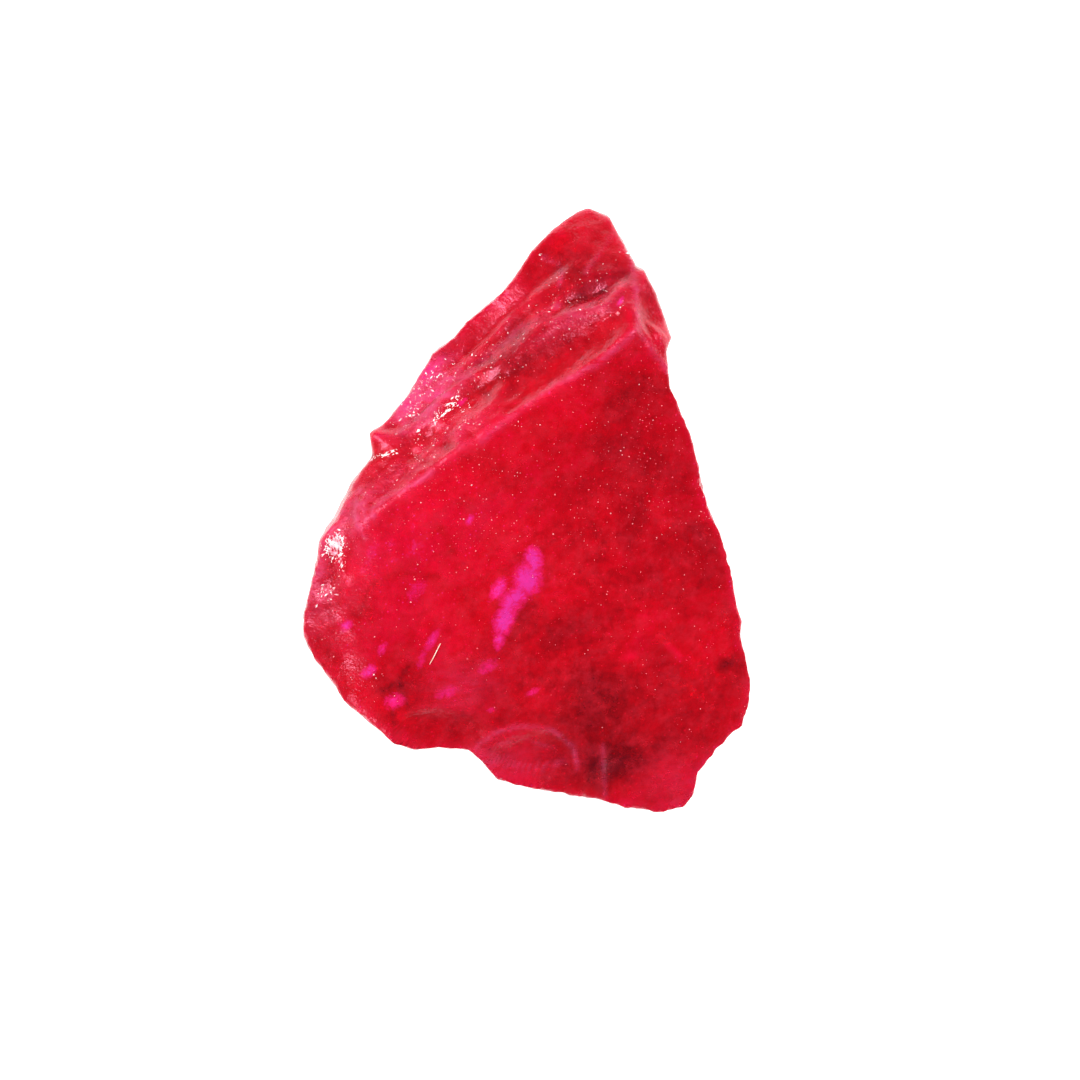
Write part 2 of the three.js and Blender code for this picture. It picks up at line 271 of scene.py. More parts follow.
def flake_depth(points, kind):
    """How deep the deepest flake is at each point: each flake is a bowl whose depth falls with
    the square of the distance from its middle, measured in its own half length and width."""
    random = np.random.default_rng(11)
    depth = np.zeros(len(points))
    for name, (count, length, width, deep, bearing) in FLAKES.items():
        here = np.flatnonzero(kind == name)
        if not len(here):
            continue
        spots = random.choice(here, count)
        for spot, size in zip(spots, random.uniform(*FLAKE_SIZES, count)):
            turn = random.uniform(0, 360) if bearing is None else random.normal(bearing, FLAKE_STRAY)
            along = on_bearing(turn)
            if bearing is None:
                along = unit(along + (0, 0, random.normal(scale=0.5)))
            away = points - points[spot]
            near = np.flatnonzero((away ** 2).sum(1) < (1.1 * length * size) ** 2)
            along_part = away[near] @ along
            rest = (away[near] ** 2).sum(1) - along_part ** 2
            bowl = 1 - (along_part / (length * size)) ** 2 - rest / (width * size) ** 2
            depth[near] = np.maximum(depth[near], deep * size * bowl)
    return depth


def plan_spread(points, rows):
    """Squared plan distance from each row's middle, in that row's own half length and width."""
    away = points[:, None, :2] - rows[:, :2]
    cos, sin = on_bearing(rows[:, 4])[:, :2].T
    along, across = away[..., 0] * cos + away[..., 1] * sin, away[..., 1] * cos - away[..., 0] * sin
    return (along / rows[:, 2]) ** 2 + (across / rows[:, 3]) ** 2


def soft_least(rows):
    """The soft minimum of each column: the least, less the log of a sum of falling exponentials."""
    least = rows.min(0)
    return least - np.log(np.exp(-CRISPNESS * (rows - least)).sum(0)) / CRISPNESS


def stone_surface(rays):
    """Surface points: the soft minimum of all reaches, with a broad parabolic blend where worn
    breaks meet fresh ones, less the flakes, roughened by ripples, then cut flat to rest on."""
    names, rows = main_reaches(rays)
    rows = np.minimum(rows, BEYOND)
    worn = np.isin(names, WORN)
    fresh = np.isin(names, [name for name, face in BREAKS.items() if face[0] > 0]) & ~worn
    new, old = soft_least(rows[fresh]), soft_least(rows[worn])
    top = np.minimum(new, old) - np.maximum(WEAR - np.abs(new - old), 0) ** 2 / (4 * WEAR)
    reach = soft_least(np.vstack((rows[~fresh & ~worn], top)))
    points = HEART + rays * reach[:, None]
    kind = names[np.argmin(rows, 0)]
    kind = np.where(np.isin(kind, list(FLAKES)), kind, "wall")
    reach -= flake_depth(points, kind)
    upper = np.clip((rays[:, 2] + 0.1) * 5, 0, 1)  # the swells fade out just under the heart's level
    reach += upper * (np.exp(-plan_spread(points, SWELLS)) @ SWELLS[:, 5])
    for seed, (broad, narrow, wall, size, waves) in enumerate(RIPPLES, 1):
        height = np.where(np.char.startswith(kind, "broad"), broad, narrow)
        reach += np.where(kind == "wall", wall, height) * ripple(points, size, waves, seed)
    floor = np.where(rays[:, 2] < -1e-6, -HEART[2] / np.minimum(rays[:, 2], -1e-6), np.inf)
    return HEART + rays * np.minimum(reach, floor)[:, None]


def sharpness(points, normals, quads):
    """How sharply the surface turns at each vertex, per mm, above zero on crests and below it in
    hollows: the turn of the normal along each edge over the edge's length, averaged."""
    count = len(points)
    a, b = quads.ravel(), np.roll(quads, -1, axis=1).ravel()
    step = points[a] - points[b]
    turn = ((normals[a] - normals[b]) * step).sum(1) / (step ** 2).sum(1)
    ends, turns = np.concatenate((a, b)), np.concatenate((turn, turn))
    shares = np.bincount(ends, minlength=count)
    turn = np.bincount(ends, turns, count) / shares
    return np.bincount(ends, np.concatenate((turn[b], turn[a])), count) / shares


def mesh_object(name, points, faces, smooth=True):
    """A mesh object from points in mm and faces."""
    mesh = bpy.data.meshes.new(name)
    mesh.from_pydata((points * MM).tolist(), [], faces)
    mesh.polygons.foreach_set("use_smooth", np.full(len(faces), smooth))
    mesh.update()
    made = bpy.data.objects.new(name, mesh)
    bpy.context.scene.collection.objects.link(made)
    return made


def srgb(code, alpha=1.0):
    """A hex colour as the linear values a shader takes."""
    c = np.array([int(code[k:k + 2], 16) for k in (1, 3, 5)]) / 255
    return (*np.where(c <= 0.04045, c / 12.92, ((c + 0.055) / 1.055) ** 2.4), alpha)


def add_node(material, kind, links=None, **settings):
    """A node with its settings, its inputs set to values or linked to other nodes' sockets. A node
    given whole lends its first socket in use."""
    tree = material.node_tree
    made = tree.nodes.new(kind)
    for key, value in settings.items():
        setattr(made, key, value)
    for key, value in (links or {}).items():
        if isinstance(value, bpy.types.Node):
            value = next(socket for socket in value.outputs if socket.enabled)
        if isinstance(value, bpy.types.NodeSocket):
            tree.links.new(value, made.inputs[key])
        else:
            made.inputs[key].default_value = value
    return made


def new_material(name):
    """A material with an empty node tree."""
    material = bpy.data.materials.new(name)
    material.use_nodes = True
    material.node_tree.nodes.clear()
    return material


# Patches in plan: middle, half length, half width, bearing of the length, then how much lighter (+)
# or deeper (-) the red is, and how frosted the surface is.
ZONES = np.array([
    (-2.40, -1.20, 1.90, 1.30, 60, 0.16, 0.02), (-1.60, 0.30, 1.60, 0.90, 35, 0.02, 0.00),
    (0.10, 1.50, 1.60, 0.80, 35, 0.03, 0.00), (2.40, 0.60, 2.40, 0.95, -70, -0.08, 0.00),
    (1.30, -3.80, 1.00, 0.75, 20, -0.28, 0.00), (1.65, -5.10, 0.90, 0.45, 10, -0.42, 0.00),
    (0.90, -2.70, 1.10, 0.80, 20, -0.10, 0.00), (3.96, -3.05, 0.22, 0.13, 20, -0.35, 0.00),
    (3.40, -3.90, 1.20, 0.90, 60, -0.06, 0.00), (-2.70, -3.50, 0.70, 0.45, 150, -0.10, 0.00),
    (-1.20, -3.40, 0.70, 0.50, 20, 0.10, 0.24), (-4.15, -1.40, 0.90, 0.45, 100, -0.06, 0.40),
    # These two patches at the thin left edge are painted glow: light shining through the edge, laid on
    # as lighter red and frost.
    (-1.85, 2.45, 0.65, 0.36, 50, 0.20, 1.30), (-2.35, 1.95, 0.45, 0.28, 50, 0.18, 1.30),
    (-1.30, 1.55, 0.80, 0.30, 35, 0.02, 0.35), (-0.45, 4.00, 0.70, 0.30, 45, 0.12, 0.15),
    (0.26, 3.00, 1.40, 0.40, 35, -0.08, 0.00), (1.10, 3.95, 1.10, 0.32, 30, 0.02, 0.35),
    (1.35, 4.42, 0.50, 0.20, 20, -0.20, 0.00), (1.80, 2.10, 0.70, 0.25, 25, -0.08, 0.00),
    (2.66, 3.80, 0.80, 0.25, -65, -0.02, 0.05), (2.90, -5.40, 0.60, 0.50, 20, 0.08, 0.20),
    (-3.60, -0.20, 0.70, 0.35, 60, 0.03, 0.50), (-2.60, 0.60, 0.90, 0.30, 35, -0.02, 0.30),
    (0.80, -0.40, 1.30, 0.90, 30, -0.08, 0.00), (-0.40, 3.10, 2.70, 1.00, 40, -0.06, 0.00),
    (-0.10, -4.90, 0.80, 0.35, -5, 0.05, 0.15), (0.50, -5.20, 0.80, 0.50, 0, -0.06, 0.00),
    (-0.60, -4.90, 0.50, 0.40, 0, 0.06, 0.12), (0.90, 5.20, 1.00, 0.60, 62, -0.08, 0.00),
    (-0.80, 3.10, 1.30, 0.28, 42, -0.05, 0.05), (2.90, -2.78, 0.26, 0.08, -40, 0.30, 0.00),
    (2.06, -2.88, 0.16, 0.10, 30, 0.25, 0.00), (0.00, -1.20, 0.90, 0.60, 66, 0.12, 0.05),
    (0.35, -3.70, 0.40, 0.20, 20, 0.14, 0.05), (-3.10, -0.90, 0.60, 0.30, 70, 0.10, 0.10),
    (-0.90, -0.10, 0.50, 0.25, 60, 0.14, 0.08), (-2.30, -3.25, 0.32, 0.24, 60, -0.12, 0.00),
    (-0.05, -2.10, 0.50, 0.30, 60, -0.08, 0.00), (-0.60, -4.18, 0.28, 0.16, 20, -0.14, 0.00),
    (-2.05, -4.35, 0.25, 0.15, 0, -0.12, 0.00), (-1.72, -0.35, 0.10, 0.04, 10, -0.25, 0.00),
    (-1.55, -0.83, 0.08, 0.04, 40, -0.20, 0.00),
])

# Pale lines where an edge or the rim of a scar is bruised, some of them also painted highlight:
# strength, half width, and the line in plan.
PALE_LINES = [
    (0.40, 0.07, [(2.20, 3.60), (1.40, 2.88), (0.50, 2.48)]),
    (0.32, 0.07, [(0.50, 2.48), (-0.40, 1.80), (-0.90, 1.35)]),
    (0.40, 0.06, [(2.20, 3.60), (2.10, 4.68), (2.06, 5.12)]), (0.40, 0.06, [(2.20, 3.50), (2.80, 2.72)]),
    (0.55, 0.05, [(-3.05, -0.10), (-3.03, 0.05), (-2.85, 0.22), (-2.66, 0.34), (-2.24, 0.49),
                  (-1.90, 0.75)]),
    (0.50, 0.05, [(-3.32, 0.42), (-3.41, 0.09), (-3.38, -0.20), (-3.20, -0.54)]),
    (0.40, 0.04, [(-3.20, 0.35), (-3.26, 0.05), (-3.15, -0.35)]),
    # These three lines round the shell scar near the bottom edge also paint the light its rim catches:
    # painted highlight as well as bruising.
    (0.50, 0.05, [(-1.00, -4.65), (-0.65, -4.42), (-0.26, -4.28), (0.47, -4.35), (0.91, -4.71),
                  (0.99, -5.10)]),
    (0.35, 0.05, [(-0.75, -4.85), (-0.30, -5.05), (0.30, -5.10), (0.75, -5.00)]),
    (0.30, 0.04, [(-0.60, -4.62), (0.00, -4.55), (0.55, -4.75)]),
    (0.30, 0.05, [(1.50, -4.70), (1.55, -5.70)]),
    (0.45, 0.05, [(0.30, 5.02), (0.60, 4.90), (0.68, 4.70), (0.62, 4.45)]),
    (0.30, 0.05, [(1.65, 5.42), (1.15, 4.72)]),
    (0.35, 0.08, [(-1.30, 2.60), (-0.20, 3.55), (0.60, 4.05)]),
]

# Hairline cracks that show dark, given in the same way.
HAIRLINES = [
    (0.14, 0.06, [(-3.30, -2.08), (-3.15, -1.53), (-2.80, -1.30), (-2.30, -1.25), (-1.75, -1.30)]),
    (0.20, 0.06, [(-2.36, -3.05), (-2.55, -3.38), (-2.45, -3.68), (-2.36, -3.90)]),
    (0.20, 0.06, [(-2.55, -3.38), (-2.85, -3.55)]), (0.24, 0.05, [(-2.70, -4.02), (-2.58, -4.38)]),
    (0.12, 0.06, [(-1.75, -0.33), (-1.60, -0.55), (-1.45, -0.86)]),
]

# Sealed cracks that flash back a bright purplish pink, painted into the colour as painted reflections:
# middle, half length, half width, bearing, strength.
PAINTED_FLASHES = np.array([
    (0.12, -0.98, 0.28, 0.19, 100, 1.1), (0.00, -1.35, 0.38, 0.28, 75, 1.1),
    (-0.26, -1.75, 0.38, 0.22, 50, 1.0), (-0.46, -2.15, 0.38, 0.21, 68, 1.1),
    (-0.56, -2.55, 0.24, 0.13, 80, 0.9), (-0.58, -1.55, 0.30, 0.16, 60, 0.8),
    (-3.58, -2.28, 0.16, 0.11, 50, 0.9), (-3.14, -3.18, 0.20, 0.13, 40, 0.9),
    (-1.90, -2.58, 0.28, 0.10, 60, 0.8), (-2.64, -3.78, 0.26, 0.20, 20, 0.6),
    (-1.14, -0.18, 0.16, 0.08, 60, 0.7), (-2.88, -2.75, 0.20, 0.10, 60, 0.6),
    # The first two here and the first on the next line also paint the glow of light through the thin
    # left edge.
    (-1.95, 2.75, 0.46, 0.22, 50, 0.62), (-2.36, 2.12, 0.36, 0.20, 50, 0.65),
    (-1.80, 2.30, 0.30, 0.12, 40, 0.6), (1.83, 4.12, 0.14, 0.06, 60, 0.9),
    (0.10, -3.60, 0.20, 0.10, 30, 0.5), (-0.72, -3.95, 0.14, 0.07, 10, 0.5),
    (-1.30, 2.15, 0.16, 0.08, 40, 0.6), (-0.45, 4.25, 0.14, 0.06, 45, 0.5),
    (-2.10, -2.95, 0.24, 0.10, 70, 0.5), (-0.80, -3.10, 0.30, 0.16, 30, 0.4),
    (-1.60, -3.60, 0.30, 0.16, 20, 0.4), (-2.20, -1.60, 0.40, 0.20, 60, 0.3),
])


def line_fade(points, lines):
    """How strongly each point is touched by its strongest line: the line's strength times the bell
    of the plan distance to its nearest stretch, over its half width."""
    fade = np.zeros(len(points))
    for strength, width, corners in lines:
        corners = np.array(corners)
        step = np.diff(corners, axis=0)
        away = points[:, None, :2] - corners[:-1]
        along = np.clip((away * step).sum(2) / (step ** 2).sum(1), 0, 1)
        gap = np.linalg.norm(away - along[..., None] * step, axis=2).min(1)
        fade = np.maximum(fade, strength * np.exp(-(gap / width) ** 2))
    return fade


PLAIN_TONE = -0.14  # the tone of plain ruby before the clouds, spots and hollows add to it
FULL_CREST, FULL_HOLLOW = 6, 4  # per mm, the turn of the surface that makes a full crest or hollow

rays, quads = box_rays(CELLS, RAY_BOX)
points = stone_surface(rays)
points -= CENTRE
stone = mesh_object("ruby", points, quads.tolist())
stone.data.set_sharp_from_angle(angle=np.radians(SHARP_TURN))
normals = np.empty(points.size)
stone.data.vertices.foreach_get("normal", normals)
normals = normals.reshape(-1, 3)
turn = sharpness(points, normals, quads)
facing_up = np.clip(3 * normals[:, 2] - 0.5, 0, 1)  # the plan patterns fade out down the walls
fade = np.exp(-plan_spread(points, ZONES)) * facing_up[:, None]
# The flash mark lays painted reflections: the pink that sealed cracks flash back, painted into the
# colour.
painted_flash = (PAINTED_FLASHES[:, 5] - plan_spread(points, PAINTED_FLASHES)).max(1)
# The hollow mark, the inward turn of the surface, later darkens the red as painted shade in the hollows.
for name, values in (
        ("crest", turn / FULL_CREST), ("hollow", -turn / FULL_HOLLOW), ("painted_flash", painted_flash + facing_up - 1),
        ("tone", PLAIN_TONE + fade @ ZONES[:, 5] - line_fade(points, HAIRLINES) * facing_up),
        ("frost_and_glow", fade @ ZONES[:, 6] + line_fade(points, PALE_LINES) * facing_up)):
    stone.data.attributes.new(name, "FLOAT", "POINT").data.foreach_set(
        "value", np.clip(values, -1, 2).astype(np.float32))


# Patterns in the ruby: size in mm, detail, roughness and twist of each noise.
PATTERNS = {
    "clouds": (1.3, 6, 0.66, 0.6), "mottle": (0.20, 5, 0.78, 0), "haze": (0.45, 7, 0.78, 0),
    "rags": (0.16, 6, 0.85, 1.0), "dullness": (0.4, 4, 0.55, 0), "pits": (0.14, 4, 0.65, 0),
    "fine pits": (0.045, 2, 0.55, 0),
}
PINPRICKS = 0.11  # mm between the tiny bright spots where drops of fluid are sealed in


def ruby_material():
    """Ruby: a glassy see-through body whose red deepens with depth. Near the surface it is clouded
    by veils, broken by sealed cracks whose pink flash is a painted reflection, darkened in hollows by
    painted shade, lit pink at the thin left edge by a painted glow, and dulled by frost on crests and
    rough breaks."""
    m = new_material("broken_ruby")
    place = add_node(m, "ShaderNodeTexCoord").outputs["Object"]
    mark = {name: add_node(m, "ShaderNodeAttribute", attribute_name=name).outputs["Fac"]
            for name in ("tone", "crest", "hollow", "frost_and_glow", "painted_flash")}
    noise = {name: add_node(m, "ShaderNodeTexNoise", {
        "Vector": place, "Scale": 1 / (size * MM), "Detail": detail, "Roughness": rough,
        "Distortion": twist}) for name, (size, detail, rough, twist) in PATTERNS.items()}

    # The red: nearly half of the spots are lit, and every pattern adds its share to the tone; the
    # hollows take theirs away, as painted shade.
    spots = add_node(m, "ShaderNodeTexVoronoi", {"Vector": place, "Scale": 1 / (PINPRICKS * MM)})
    chance = add_node(m, "ShaderNodeSeparateColor", {"Color": spots.outputs["Color"]})
    lit = add_node(m, "ShaderNodeMath", {0: chance, 1: 0.55}, operation="GREATER_THAN")
    spots = add_node(m, "ShaderNodeMapRange", {"Value": spots, "From Min": 0.24, "From Max": 0.0733})
    spots = add_node(m, "ShaderNodeMath", {0: spots, 1: lit}, operation="MULTIPLY")
    tone = mark["tone"]
    for pattern, share in (
            (noise["clouds"], 0.78), (noise["mottle"], 0.50), (mark["hollow"], -0.22), (spots, 0.28)):
        tone = add_node(m, "ShaderNodeMath", {0: pattern, 1: share, 2: tone}, operation="MULTIPLY_ADD")
    body = add_node(m, "ShaderNodeValToRGB", {"Fac": tone})
    stops = body.color_ramp.elements
    stops[0].position, stops[0].color = 0.05, srgb("#5A0008")
    stops[1].position, stops[1].color = 1.0, srgb("#FF3494")
    for position, code in ((0.28, "#A0000C"), (0.5, "#D20016"), (0.75, "#F40434")):
        stops.new(position).color = srgb(code)

    # Frost: scratchy streaks along the bevel, strongest on crests of the frosted breaks. The same mark
    # also lays the painted glow at the thin left edge and the painted highlight on the bottom scar's
    # rim.
    turned = add_node(m, "ShaderNodeMapping", {
        "Vector": place, "Rotation": (0, 0, np.radians(-38)), "Scale": (1, 4.5, 4.5)})
    streaks = add_node(m, "ShaderNodeTexNoise", {
        "Vector": turned, "Scale": 1 / (0.55 * MM), "Detail": 6, "Roughness": 0.75})
    streaks = add_node(m, "ShaderNodeMapRange", {"Value": streaks, "From Min": 0.30, "From Max": 0.4818},
                       clamp=False)
    worn = add_node(m, "ShaderNodeMath", {0: mark["crest"], 1: 0.5}, operation="ADD")
    worn = add_node(m, "ShaderNodeMath", {0: worn, 1: mark["frost_and_glow"]}, operation="MULTIPLY")
    worn = add_node(m, "ShaderNodeMath", {0: mark["crest"], 1: 0.04, 2: worn}, operation="MULTIPLY_ADD")
    frost_and_glow = add_node(m, "ShaderNodeMath", {0: worn, 1: streaks}, operation="MULTIPLY", use_clamp=True)

    # Layers over the red: haze, the painted glow round each flash, the flash itself as a painted
    # reflection, and frost, which also carries painted glow and highlight. Each starts at one value of
    # its pattern, is full at another, and then hides its share of what is under it.
    ragged_painted_flash = add_node(m, "ShaderNodeMath", {0: noise["rags"], 1: 3.4, 2: mark["painted_flash"]},
                      operation="MULTIPLY_ADD")
    shade = body
    for pattern, start, full, most, code in (
            (noise["haze"], 0.46, 1.0156, 1, "#E83046"), (ragged_painted_flash, 1.45, 2.219, 1, "#FF1C74"),
            (ragged_painted_flash, 2.25, 2.6346, 1, "#FF38B4"), (frost_and_glow, 0, 1, 0.85, "#F0528E")):
        share = add_node(m, "ShaderNodeMapRange", {
            "Value": pattern, "From Min": start, "From Max": full, "To Max": most})
        shade = add_node(m, "ShaderNodeMix", {"Factor": share, "A": shade, "B": srgb(code)},
                         data_type="RGBA")

    # The finish: glassy, duller in patches and where it is frosted, with pits a few microns deep.
    rough = add_node(m, "ShaderNodeMath", {0: noise["dullness"], 1: 0.3, 2: 0.08},
                     operation="MULTIPLY_ADD")
    rough = add_node(m, "ShaderNodeMath", {0: frost_and_glow, 1: 0.25, 2: rough}, operation="MULTIPLY_ADD")
    pits = add_node(m, "ShaderNodeMath", {0: noise["fine pits"], 1: 0.5, 2: noise["pits"]},
                    operation="MULTIPLY_ADD")
    depth = add_node(m, "ShaderNodeMath", {0: mark["frost_and_glow"], 1: 1.6, 2: 0.8}, operation="MULTIPLY_ADD")
    pits = add_node(m, "ShaderNodeMath", {0: pits, 1: depth}, operation="MULTIPLY")
    bump = add_node(m, "ShaderNodeBump", {"Height": pits, "Strength": 0.7, "Distance": 0.02 * MM})
    shader = add_node(m, "ShaderNodeBsdfPrincipled", {
        "Base Color": shade, "Roughness": rough, "IOR": 1.77, "Specular IOR Level": 0.2,
        "Specular Tint": (1, 0.32, 0.50, 1), "Transmission Weight": 0.5, "Normal": bump})
    inside = add_node(m, "ShaderNodeVolumeAbsorption", {"Color": srgb("#FF2848"), "Density": 150.0})
    add_node(m, "ShaderNodeOutputMaterial", {"Surface": shader, "Volume": inside})
    return m


stone.data.materials.append(ruby_material())
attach(stone, "root")
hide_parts("ruby_crystal")

# --- Sealed cracks -----------------------------------------------------------------------------
# Healed cracks inside the ruby: thin wandering sheets of tiny fluid drops, which grew shut while
# the crystal grew. They lie a little under the surface and catch the light as paler patches.

# Middle of each sheet in plan, depth under the surface, half length, half width, bearing, tilt.
VEILS = np.array([
    (-0.10, -1.35, 0.45, 0.85, 0.45, 66, 35), (-0.45, -2.20, 0.60, 0.80, 0.40, 60, -30),
    (-1.60, -0.30, 0.70, 1.10, 0.55, 35, 25), (-2.40, -1.60, 0.60, 0.80, 0.50, 80, -35),
    (-1.90, -2.70, 0.50, 0.60, 0.35, 60, 40), (-1.20, -3.40, 0.55, 0.80, 0.50, 20, 20),
    (0.60, 0.90, 0.90, 1.30, 0.70, 35, 30), (1.80, 1.60, 0.80, 0.90, 0.45, 20, -40),
    (2.20, -0.60, 0.70, 1.00, 0.60, -70, 30), (1.00, -2.20, 0.60, 0.90, 0.50, 10, -25),
    (2.60, -2.90, 0.50, 0.70, 0.40, -40, 35), (2.90, -4.30, 0.50, 0.70, 0.40, 50, -20),
    (0.20, 3.10, 0.60, 0.90, 0.40, 35, 25), (1.10, 4.60, 0.60, 0.60, 0.30, 60, -30),
    (-2.10, 1.60, 0.50, 0.60, 0.30, 45, 20), (-3.00, -0.40, 0.70, 0.80, 0.50, 60, -30),
])
VEIL_THICKNESS = 0.012  # mm
VEIL_GRID = (36, 14)  # steps round and from pole to pole
LOOKS_UP = 0.35  # least upward part of the normal where veils, grains and dust are measured from


def upper_side(stone, quads):
    """Points (mm), normals, share of the area (mm2) and frost, with the painted glow it holds, of the
    vertices that look up.
    """
    count = len(stone.data.vertices)
    points, normals, frost_and_glow = np.empty(count * 3), np.empty(count * 3), np.empty(count)
    areas = np.empty(len(quads))
    stone.data.polygons.foreach_get("area", areas)
    share = np.bincount(quads.ravel(), np.repeat(areas / 4, 4), count) / MM ** 2
    stone.data.vertices.foreach_get("co", points)
    stone.data.vertices.foreach_get("normal", normals)
    stone.data.attributes["frost_and_glow"].data.foreach_get("value", frost_and_glow)
    points, normals = points.reshape(-1, 3) / MM, normals.reshape(-1, 3)
    up = normals[:, 2] > LOOKS_UP
    return points[up], normals[up], share[up], frost_and_glow[up]


def closed_grid(across, down):
    """Quads of a grid that closes on itself round the first way and at a pole each end of the
    second; its points are the rows between the poles, then the two poles."""
    a, b = np.meshgrid(np.arange(across), np.arange(down - 2), indexing="ij")
    rows = down - 1
    here, beside = a * rows + b, (a + 1) % across * rows + b
    quads = np.stack((here, here + 1, beside + 1, beside), -1).reshape(-1, 4)
    ring = np.arange(across) * rows
    after = np.roll(ring, -1)
    top, bottom = across * rows, across * rows + 1
    caps = [np.stack((np.full(across, top), ring, after), -1),
            np.stack((np.full(across, bottom), after + rows - 1, ring + rows - 1), -1)]
    return quads.tolist() + caps[0].tolist() + caps[1].tolist()


def veil(row, surface, seed):
    """A flattened spheroid: its rim wanders in and out as a sum of three waves, and the whole sheet
    rises and falls as the product of two, by a tenth of its length."""
    x, y, depth, length, width, bearing, tilt = row
    random = np.random.default_rng(seed)
    turn = np.linspace(0, 2 * np.pi, VEIL_GRID[0], endpoint=False)
    drop = np.linspace(0, np.pi, VEIL_GRID[1] + 1)[1:-1]
    u, v = np.meshgrid(turn, drop, indexing="ij")
    rim = 1 + sum(size * np.sin(k * u + random.uniform(0, 7))
                  for k, size in ((2, 0.12), (5, 0.09), (9, 0.05)))
    flat = np.stack((length * rim * np.sin(v) * np.cos(u), width * rim * np.sin(v) * np.sin(u),
                     VEIL_THICKNESS / 2 * np.cos(v)), -1).reshape(-1, 3)
    flat = np.vstack((flat, (0, 0, VEIL_THICKNESS / 2), (0, 0, -VEIL_THICKNESS / 2)))
    flat[:, 2] += 0.1 * length * np.sin(5 * flat[:, 0] + 1) * np.cos(6 * flat[:, 1] + seed)
    along, lean = on_bearing(bearing), np.radians(tilt)
    side = np.cross((0, 0, 1), along) * np.cos(lean) + np.array((0, 0, np.sin(lean)))
    top = surface[np.argmin(((surface[:, :2] - (x, y)) ** 2).sum(1))]
    return top - (0, 0, depth) + flat @ np.stack((along, side, np.cross(along, side)))


def joined(shapes, faces):
    """The points of like shapes in one array, and their faces with the right indices."""
    counts = np.cumsum([0] + [len(shape) for shape in shapes[:-1]])
    shifted = [[index + int(start) for index in face] for start in counts for face in faces]
    return np.vstack(shapes), shifted


def veil_material():
    """Healed crack: a film of fluid drops that is nearly clear and scatters pale pink light, in
    the lacy pattern of a fingerprint about a tenth of a millimetre apart."""
    m = new_material("healed_crack_film")
    place = add_node(m, "ShaderNodeTexCoord").outputs["Object"]
    lace = add_node(m, "ShaderNodeTexVoronoi", {"Vector": place, "Scale": 1 / (0.10 * MM)}, feature="F1")
    film = add_node(m, "ShaderNodeValToRGB", {"Fac": lace})
    film.color_ramp.elements[0].color, film.color_ramp.elements[0].position = srgb("#FFA0C4"), 0.15
    film.color_ramp.elements[1].color, film.color_ramp.elements[1].position = srgb("#E81C5C"), 0.7
    shader = add_node(m, "ShaderNodeBsdfPrincipled", {
        "Base Color": film, "Roughness": 0.3, "IOR": 1.33, "Transmission Weight": 0.6})
    add_node(m, "ShaderNodeOutputMaterial", {"Surface": shader})
    return m


upper, upward, upper_area, upper_frost_and_glow = upper_side(stone, quads)
sheets = [veil(row, upper, seed) for seed, row in enumerate(VEILS)]
veils = mesh_object("healed_cracks", *joined(sheets, closed_grid(*VEIL_GRID)))
veils.data.materials.append(veil_material())
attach(veils, "root")

# --- Sealed grains -----------------------------------------------------------------------------
# Tiny crystals of other minerals, such as dark spinel and pale apatite, which the ruby grew round.
# They are eight-sided grains a few hundredths of a millimetre across, scattered under the skin.

GRAIN = np.array([(1, 0, 0), (-1, 0, 0), (0, 1, 0), (0, -1, 0), (0, 0, 1), (0, 0, -1)], float)
SEALED = 420  # grains sealed in the stone
SEALED_DEPTH = (0.06, 0.8)  # mm, least and most, under the surface
SEALED_HALF = (0.012, 0.035)  # mm, least and greatest half size
GRAIN_FACES = [(0, 2, 4), (2, 1, 4), (1, 3, 4), (3, 0, 4), (2, 0, 5), (1, 2, 5), (3, 1, 5), (0, 3, 5)]


def any_way_up(random, count):
    """Random turns, as the axes that a random matrix leaves when its columns are squared up."""
    turns = np.linalg.qr(random.normal(size=(count, 3, 3)))[0]
    return turns * np.sign(np.linalg.det(turns))[:, None, None]


def scatter(corners, places, turns, sizes):
    """Copies of a small shape, each stretched along its own axes, turned and set in its place."""
    return list(np.einsum("nvk,nkj->nvj", corners * sizes[:, None, :], turns) + places[:, None, :])


def inclusion_material():
    """Sealed mineral grains: glassy bodies, most of them dark brown-red and some honey pale."""
    m = new_material("spinel_and_apatite")
    place = add_node(m, "ShaderNodeTexCoord").outputs["Object"]
    patch = add_node(m, "ShaderNodeTexNoise", {"Vector": place, "Scale": 1 / (0.6 * MM), "Detail": 1})
    kind = add_node(m, "ShaderNodeValToRGB", {"Fac": patch})
    kind.color_ramp.elements[0].color, kind.color_ramp.elements[0].position = srgb("#26080A"), 0.52
    kind.color_ramp.elements[1].color, kind.color_ramp.elements[1].position = srgb("#E8B890"), 0.62
    shader = add_node(m, "ShaderNodeBsdfPrincipled", {
        "Base Color": kind, "Roughness": 0.25, "IOR": 1.7, "Transmission Weight": 0.5})
    add_node(m, "ShaderNodeOutputMaterial", {"Surface": shader})
    return m


random = np.random.default_rng(21)
picked = random.choice(len(upper), SEALED)
places = upper[picked] - upward[picked] * random.uniform(*SEALED_DEPTH, (SEALED, 1))
sizes = random.uniform(*SEALED_HALF, (SEALED, 1)) * random.uniform(0.6, 1.5, (SEALED, 3))
shapes = scatter(GRAIN, places, any_way_up(random, SEALED), sizes)
grains = mesh_object("sealed_grains", *joined(shapes, GRAIN_FACES), smooth=False)
grains.data.materials.append(inclusion_material())
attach(grains, "root")

# --- Dust --------------------------------------------------------------------------------------
# Rock dust that clings to the broken surface: specks of powder one to three hundredths of a
# millimetre across, and one grain of white sand. They show as pale pinpoints, fewer at both ends.

